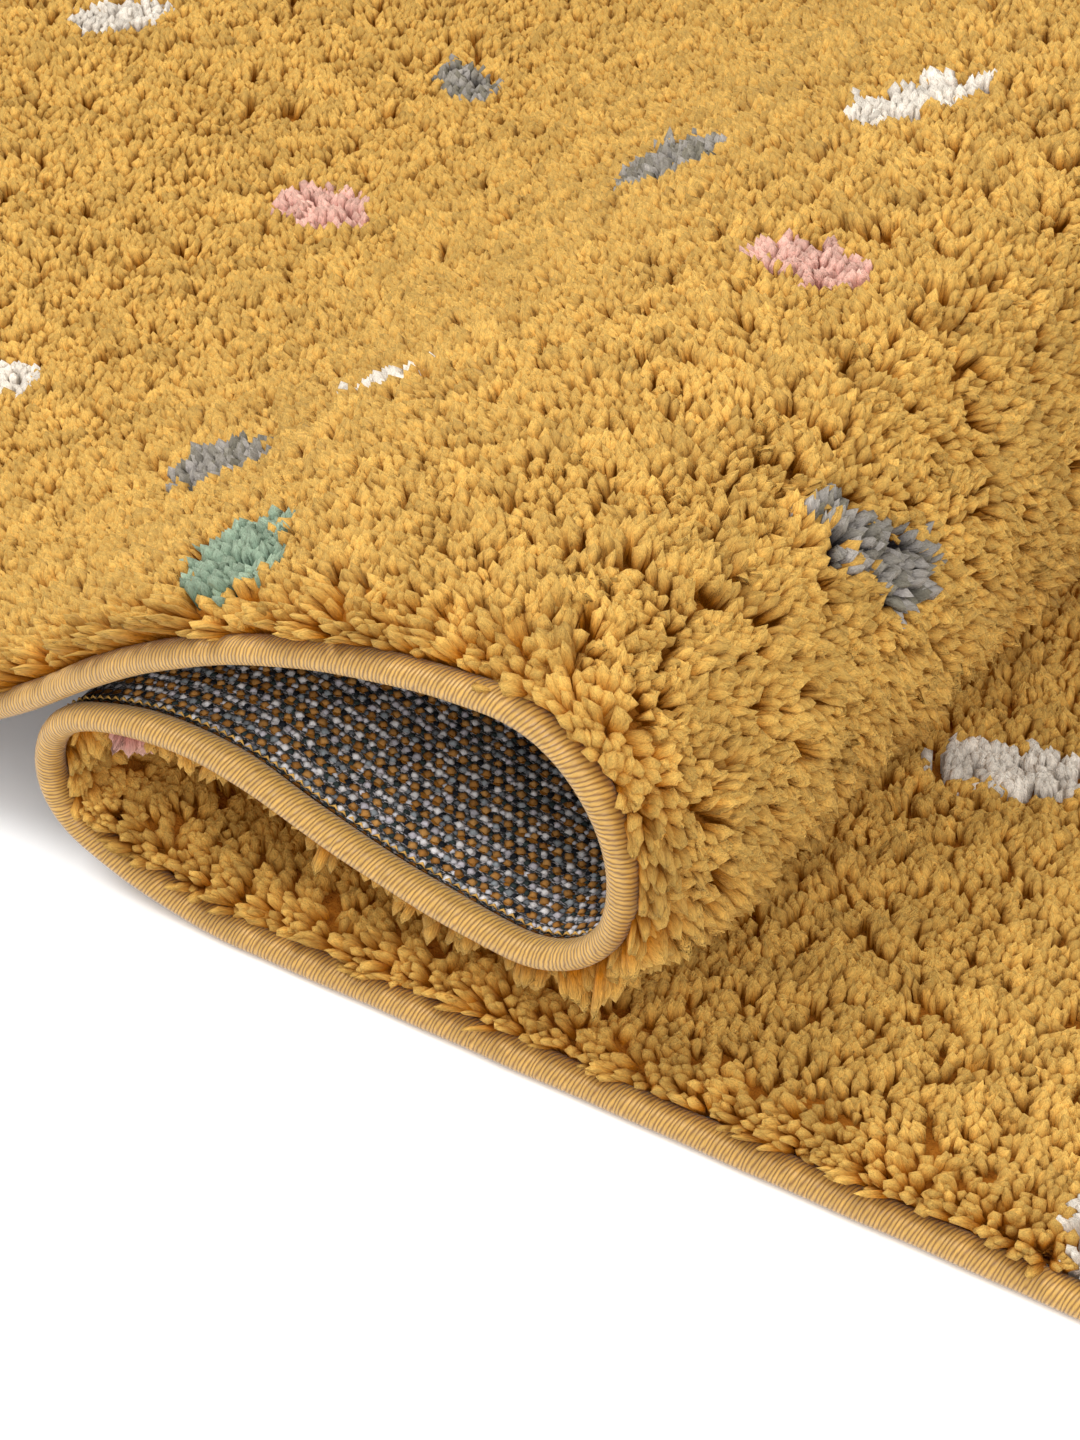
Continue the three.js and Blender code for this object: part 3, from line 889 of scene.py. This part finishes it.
def flat_grid(insets, corner, steps):
    """Places of the flat rug in a grid that has its steps between the corners and more lines at
    the insets outside them, and its numbers of rows and columns."""
    lines = []
    for whole, count in zip((RUG_LENGTH, RUG_WIDTH), steps):
        inner = np.linspace(corner, whole - corner, count)
        lines.append(np.concatenate([insets, inner, whole - np.array(insets[::-1])]))
    along, y = (grid.ravel() for grid in np.meshgrid(*lines, indexing="ij"))
    return along, y, len(lines[0]), len(lines[1])


# The shaded depth of the pile: its insets at the rim and its steps inside them, the gap to the
# cloth, its height over the cloth's middle and how far that drops where the pile fans out, its share
# of the pile's lumps, its thickness at the rim, and how far in from there it is at full height
DEPTH_INSETS = [PILE_INSET, 13.0]
DEPTH_CORNER = CORNER_RADIUS + 2
DEPTH_STEPS = (130, 34)
DEPTH_GAP = 0.1
DEPTH_HEIGHT = 10.8
FAN_DEPTH_DROP = 2.0
DEPTH_LUMPS = 0.8
DEPTH_RIM = 2.0
DEPTH_ROUNDING = 5.0


def pile_ground(material):
    """The shaded depth of the pile: a closed slab on the cloth, as high as a bit over half of the
    pile, lower where the pile fans out and rounded down at its rim."""
    along, y, rows, columns = flat_grid(DEPTH_INSETS, DEPTH_CORNER, DEPTH_STEPS)
    low = rim_lift(along, y) + CLOTH_THICK / 2 + DEPTH_GAP
    spread = np.clip(fan(along, y) / FAN_FULL, 0, 1)
    lumps = pile_top(along, y) - PILE_HEIGHT
    crown = DEPTH_HEIGHT - FAN_DEPTH_DROP * spread + DEPTH_LUMPS * lumps
    from_rim = smooth((rim_distance(along, y) - PILE_INSET) / DEPTH_ROUNDING)
    high = low + DEPTH_RIM + (crown - low - DEPTH_RIM) * from_rim
    points = np.concatenate([place(along, y, low), place(along, y, high)])
    return make_piece("pile_ground", points, sheet_faces(rows, columns), material)


# Cloth and its edge

# How far in the cloth ends inside the winding, and its steps along and across
CLOTH_INSET = BINDING_WIDE - 0.6
CLOTH_STEPS = (270, 20)


def woven_backing(material):
    """The base cloth: one closed sheet of even thickness on the folds, whose rim is held in the
    winding."""
    along, y, rows, columns = flat_grid([CLOTH_INSET], CORNER_RADIUS, CLOTH_STEPS)
    lift = rim_lift(along, y)
    bottom = place(along, y, lift - CLOTH_THICK / 2)
    top = place(along, y, lift + CLOTH_THICK / 2)
    flat = np.stack([along, y, np.zeros_like(y)], axis=1)
    values = {"flat": np.concatenate([flat, flat])}
    points = np.concatenate([bottom, top])
    faces = sheet_faces(rows, columns)
    return make_piece("woven_cloth", points, faces, material, values)


def rim_path(distance, inset):
    """Places round the rim at an inset, and the way out of the rug there: four straight sides,
    each followed by a quarter circle. The distance is taken half the binding's width in."""
    radius = CORNER_RADIUS - BINDING_WIDE / 2
    arc = radius * math.pi / 2
    low = CORNER_RADIUS
    end = RUG_LENGTH - CORNER_RADIUS
    far = RUG_WIDTH - CORNER_RADIUS
    corners = np.array([(low, low), (end, low), (end, far), (low, far)])
    sides = [end - low, far - low] * 2
    spot = np.zeros((*np.shape(distance), 2))
    out = np.zeros_like(spot)
    left = np.mod(distance, rim_length())
    for side, length in enumerate(sides):
        heading = side * math.pi / 2
        on_side = (left >= 0) & (left < length + arc)
        straight = np.clip(left, 0, length)
        turned = heading - math.pi / 2 + np.clip(left - length, 0, arc) / radius
        way_out = np.stack([np.cos(turned), np.sin(turned)], axis=-1)
        forward = np.array([math.cos(heading), math.sin(heading)])
        here = corners[side] + straight[..., None] * forward + (CORNER_RADIUS - inset) * way_out
        spot[on_side] = here[on_side]
        out[on_side] = way_out[on_side]
        left = left - length - arc
    return spot, out


def rim_length():
    """The length of the line round the rim, half the binding's width in from the edge."""
    straight = 2 * (RUG_LENGTH + RUG_WIDTH - 4 * CORNER_RADIUS)
    return straight + 2 * math.pi * (CORNER_RADIUS - BINDING_WIDE / 2)


# The mesh of the binding: its steps round the rim and round its oval. Its size wavers in two
# waves, each with its height, its rate round the rim and its shift, and stays a little inside.
BINDING_STEP = 3.2
BINDING_AROUND = 14
WAVERS = [(0.07, 0.21, 0), (0.06, 0.083, 1)]
BINDING_SHY = 0.1

# How far the noise of the fibres moves with each millimetre of the rim and over the oval's radius
WRAP_FIBRES_ON = 2.4
WRAP_FIBRES_ROUND = 1.6


def wound_binding(material):
    """The yarn wound over the edge: an oval carried round the rim. Its turns are in the material,
    which reads the place round the rim in millimetres and the share of the way round the oval."""
    rings = int(rim_length() / BINDING_STEP)
    step = rim_length() / rings
    ring, side = np.meshgrid(np.arange(rings), np.arange(BINDING_AROUND), indexing="ij")
    round_oval = 2 * math.pi * side / BINDING_AROUND
    angle = round_oval - math.pi / 2
    distance = ring * step
    spot, out = rim_path(distance, BINDING_WIDE / 2)
    grow = sum(high * np.sin(distance * rate + shift) for high, rate, shift in WAVERS) - BINDING_SHY
    outwards = (BINDING_WIDE / 2 + grow) * np.cos(angle)
    up = BINDING_MIDDLE + (BINDING_THICK / 2 + grow) * np.sin(angle)
    flat = spot + outwards[..., None] * out
    points = place(*flat.reshape(-1, 2).T, up.ravel())
    corner_ring = np.stack([ring, ring + 1, ring + 1, ring], axis=-1)
    corner_side = np.stack([side, side, side + 1, side + 1], axis=-1)
    faces = corner_ring % rings * BINDING_AROUND + corner_side % BINDING_AROUND
    around = [wave(round_oval) * WRAP_FIBRES_ROUND for wave in (np.cos, np.sin)]
    fibre = np.stack([distance * WRAP_FIBRES_ON, *around], axis=-1)
    values = {"fibre": fibre.reshape(-1, 3)}
    faces = faces.reshape(-1, 4)
    piece = make_piece("wound_binding", points, faces, material, values)
    winding = np.stack([corner_ring * step, corner_side / BINDING_AROUND], axis=-1)
    layer = piece.data.uv_layers.new(name="winding")
    layer.data.foreach_set("uv", winding.astype(np.float32).ravel())
    return piece


def small_spindles(name, points, sides, dyes, yarn, apart, material, slot):
    """A piece of knots or stitches from the points of its spindles, with the dye and the number
    of each. The fibres of each are taken some way apart in the noise."""
    count, per_spindle = points.shape[:2]
    points = points.reshape(-1, 3)
    numbers = np.repeat(yarn, per_spindle)
    values = {
        "dye": np.repeat(dyes, per_spindle, axis=0),
        "yarn": numbers,
        "fibre": points + numbers[:, None] * apart,
    }
    return make_piece(name, points, spindle_faces(1, sides, count), material, values)


# The chain stitches: how far apart they are, how thick, their start, middle and end, each with its
# share of the step, its inset and how far it lies under the cloth, and their numbers and dye
STITCH_PITCH = 2.6
STITCH_RADIUS = 0.46
STITCH_SIDES = 4
STITCH_POINTS = [(0.0, 8.9, 0.1), (0.55, 9.7, 0.7), (1.15, 9.0, 0.1)]
STITCH_NUMBERS = (0.2, 1)
STITCH_DYE = dye(214, 168, 88)


def edge_stitches(material, random):
    """The row of chain stitches at the binding's inner edge on the back: slim spindles, each
    slanting a little in from the rim."""
    count = int(rim_length() / STITCH_PITCH)
    distance = np.arange(count) * rim_length() / count
    line = []
    for ahead, inset, under in STITCH_POINTS:
        spot = rim_path(distance + ahead * STITCH_PITCH, inset)[0].T
        line.append(place(*spot, rim_lift(*spot) - CLOTH_THICK / 2 - under))
    centres = np.stack(line, axis=1)
    forward = centres[:, -1] - centres[:, 0]
    forward /= np.linalg.norm(forward, axis=1)[:, None]
    pile_way = cloth_axes(*rim_path(distance, BINDING_WIDE)[0].T)[2]
    side_b = np.cross(forward, pile_way)
    side_a = np.cross(side_b, forward)
    radii = np.full((count, 1), STITCH_RADIUS)
    points, _ = spindles(centres, radii, side_a, side_b, STITCH_SIDES, np.zeros(count))
    dyes = np.full((count, 3), STITCH_DYE[:3])
    yarn = random.uniform(*STITCH_NUMBERS, count)
    looks = (dyes, yarn, 0, material, "binding_yarn")
    return small_spindles("edge_stitches", points, STITCH_SIDES, *looks)


# The knots on the back: from where to where they stand out of the cloth, in from the rim and along
# the rug, and how far they stray each way, differ in size, and sink in and rise by their height
KNOT_INSETS = (9.9, 78.0)
KNOT_STRETCH = (366.0, 690.0)
KNOT_STRAYS = (0.22, 0.25)
KNOT_SIZES = (0.85, 1.15)
KNOT_RISE = np.array([-0.3, 0.35, 1.0])
KNOT_SIDES = 4
KNOT_FIBRES_APART = 50.0

# The four knots in a cell of the weave: the place in the cell, the thickness, the height, and four
# shades, one of which each knot takes
Knot = namedtuple("Knot", "along across girth rise shades")
PALE_SHADES = [(226, 222, 220), (226, 222, 220), (196, 190, 196), (150, 156, 160)]
DARK_SHADES = [(26, 29, 36), (112, 116, 120), (214, 211, 214), (50, 62, 60)]
MUSTARD_SHADES = [(176, 124, 62), (160, 108, 48), (176, 124, 62), (190, 138, 74)]
KNOTS = [
    Knot(0.5, 0.5, 1.45, 1.15, MUSTARD_SHADES),
    Knot(1.0, 1.0, 1.35, 0.95, PALE_SHADES),
    Knot(1.0, 0.5, 1.1, 0.6, DARK_SHADES),
    Knot(0.5, 1.0, 1.1, 0.6, DARK_SHADES),
]


def backing_knots(name, y_low, y_high, material, random):
    """The raised knots on the back where one can look into the fold: a mustard one and a pale one
    in each cell of the weave, and two between them, each dark, grey or light."""
    low, high = KNOT_STRETCH
    rows = np.arange(math.ceil(low / KNOT_ALONG), math.floor(high / KNOT_ALONG))
    columns = np.arange(math.floor(y_low / KNOT_ACROSS), math.ceil(y_high / KNOT_ACROSS))
    row, column = (grid.ravel() for grid in np.meshgrid(rows, columns, indexing="ij"))
    kind = np.repeat(np.arange(len(KNOTS)), len(row))
    shift_along, shift_across, girth, rise = np.array([knot[:4] for knot in KNOTS])[kind].T
    stray_along, stray_across = (random.normal(0, stray, len(kind)) for stray in KNOT_STRAYS)
    along = (np.tile(row, len(KNOTS)) + shift_along) * KNOT_ALONG + stray_along
    y = (np.tile(column, len(KNOTS)) + shift_across) * KNOT_ACROSS + stray_across
    palettes = np.array([[dye(*shade)[:3] for shade in knot.shades] for knot in KNOTS])
    dyes = palettes[kind, random.integers(0, palettes.shape[1], len(kind))]
    clear = (y > y_low) & (y < y_high)
    along, y, dyes, girth, rise = (part[clear] for part in (along, y, dyes, girth, rise))

    total = len(along)
    middle, forward, pile_way = cloth_axes(along, y)
    across = np.broadcast_to([0.0, 1.0, 0.0], forward.shape)
    base = (rim_lift(along, y) - CLOTH_THICK / 2)[:, None]
    size = girth * random.uniform(*KNOT_SIZES, total)
    up = base - KNOT_RISE * rise[:, None]
    centres = middle[:, None] + up[..., None] * pile_way[:, None]
    turn = random.uniform(0, 2 * math.pi, total)
    points, _ = spindles(centres, size[:, None], forward, across, KNOT_SIDES, turn)
    yarn = random.uniform(0, 1, total)
    looks = (dyes, yarn, KNOT_FIBRES_APART, material, "backing_cloth")
    return small_spindles(name, points, KNOT_SIDES, *looks)


# Room

# The camera: its lens, its place in millimetres from the right end and the near edge of the rug, and
# the degrees that it is turned up from straight down and round to the left
CAMERA_LENS = 90
CAMERA_PLACE = (179.6, -531.4, 582.4)
CAMERA_TURN = (53.3, 0, 33.1)


def camera_at_photo_angle():
    """A long lens that looks down and to the left along the folds."""
    camera = bpy.data.cameras.new("camera")
    camera.lens = CAMERA_LENS
    camera.sensor_width = 36
    holder = add_object("camera", camera)
    corner = np.array([RIGHT_END, NEAR_EDGE, 0])
    holder.location = (corner + CAMERA_PLACE) * MM
    holder.rotation_euler = [math.radians(turn) for turn in CAMERA_TURN]
    bpy.context.scene.camera = holder


def area_light(name, place_at, aim, size, watts):
    """A square soft light that looks at a point."""
    light = bpy.data.lights.new(name, "AREA")
    light.size = size
    light.energy = watts
    holder = add_object(name, light)
    way = np.array(aim) - np.array(place_at)
    holder.location = place_at
    tilt = math.atan2(math.hypot(way[0], way[1]), -way[2])
    holder.rotation_euler = (tilt, 0, math.atan2(way[1], way[0]) - math.pi / 2)


# How far the floor reaches each way in metres, and the sky's light as a share of plain white
FLOOR_REACH = 6.0
SKY_STRENGTH = 0.74


def studio():
    """A plain pale floor, a soft key light from the upper left, a weaker one from the right, and
    a pale sky."""
    material, _, _ = start_material(
        "floor_paper", Base_Color=dye(246, 246, 246), Roughness=0.9, Specular_IOR_Level=0.1,
        Emission_Color=dye(255, 255, 255), Emission_Strength=0.12,
    )
    mesh = bpy.data.meshes.new("floor")
    corners = [(-1, -1), (1, -1), (1, 1), (-1, 1)]
    mesh.from_pydata([(x * FLOOR_REACH, y * FLOOR_REACH, 0) for x, y in corners], [], [(0, 1, 2, 3)])
    mesh.materials.append(material)
    floor = add_object("floor", mesh)
    area_light("key", (-0.9, -0.7, 1.7), (0.05, -0.1, 0), 1.0, 27)
    area_light("fill", (1.1, -1.0, 1.2), (0.2, -0.1, 0), 1.4, 17)
    world = bpy.data.worlds.new("sky")
    world.use_nodes = True
    sky = world.node_tree.nodes["Background"]
    sky.inputs["Color"].default_value = (1, 1, 1, 1)
    sky.inputs["Strength"].default_value = SKY_STRENGTH
    bpy.context.scene.world = world


# The pile's pieces: the stretch of the rug that each stands on, named by where that lies
STRETCHES = [
    ("bottom_layer", 0, 255),
    ("turned_layer", 255, 490),
    ("right_fold", 490, 590),
    ("top_layer", 590, 760),
    ("middle_run", 760, 930),
    ("left_run", 930, RUG_LENGTH),
]


def build():
    """Makes every piece of the rug and hides the parts of the model that they take the place of."""
    random = np.random.default_rng(7)
    pile_yarn = pile_material()
    along, y = yarn_roots(random)
    ends = yarn_ends(along, y, random)
    for stretch, start, end in STRETCHES:
        here = (along >= start) & (along < end)
        for kind_name, kind in KINDS.items():
            chosen = here & (ends["kind"] == kind_name)
            name = f"pile_{stretch}_{kind_name}"
            pile_piece(name, ends, chosen, kind, pile_yarn, random)
    ground = pile_ground(ground_material())
    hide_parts("shag_pile")

    binding = wound_binding(binding_material())
    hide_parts("edge_binding")

    cloth = woven_backing(backing_material())
    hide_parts("woven_backing")
    knot_yarn = knot_material()
    stitches = edge_stitches(knot_yarn, random)
    low, high = KNOT_INSETS
    near_knots = backing_knots("backing_knots_near", low, high, knot_yarn, random)
    far_knots = backing_knots("backing_knots_far", RUG_WIDTH - high, RUG_WIDTH - low, knot_yarn, random)


camera_at_photo_angle()
studio()
build()
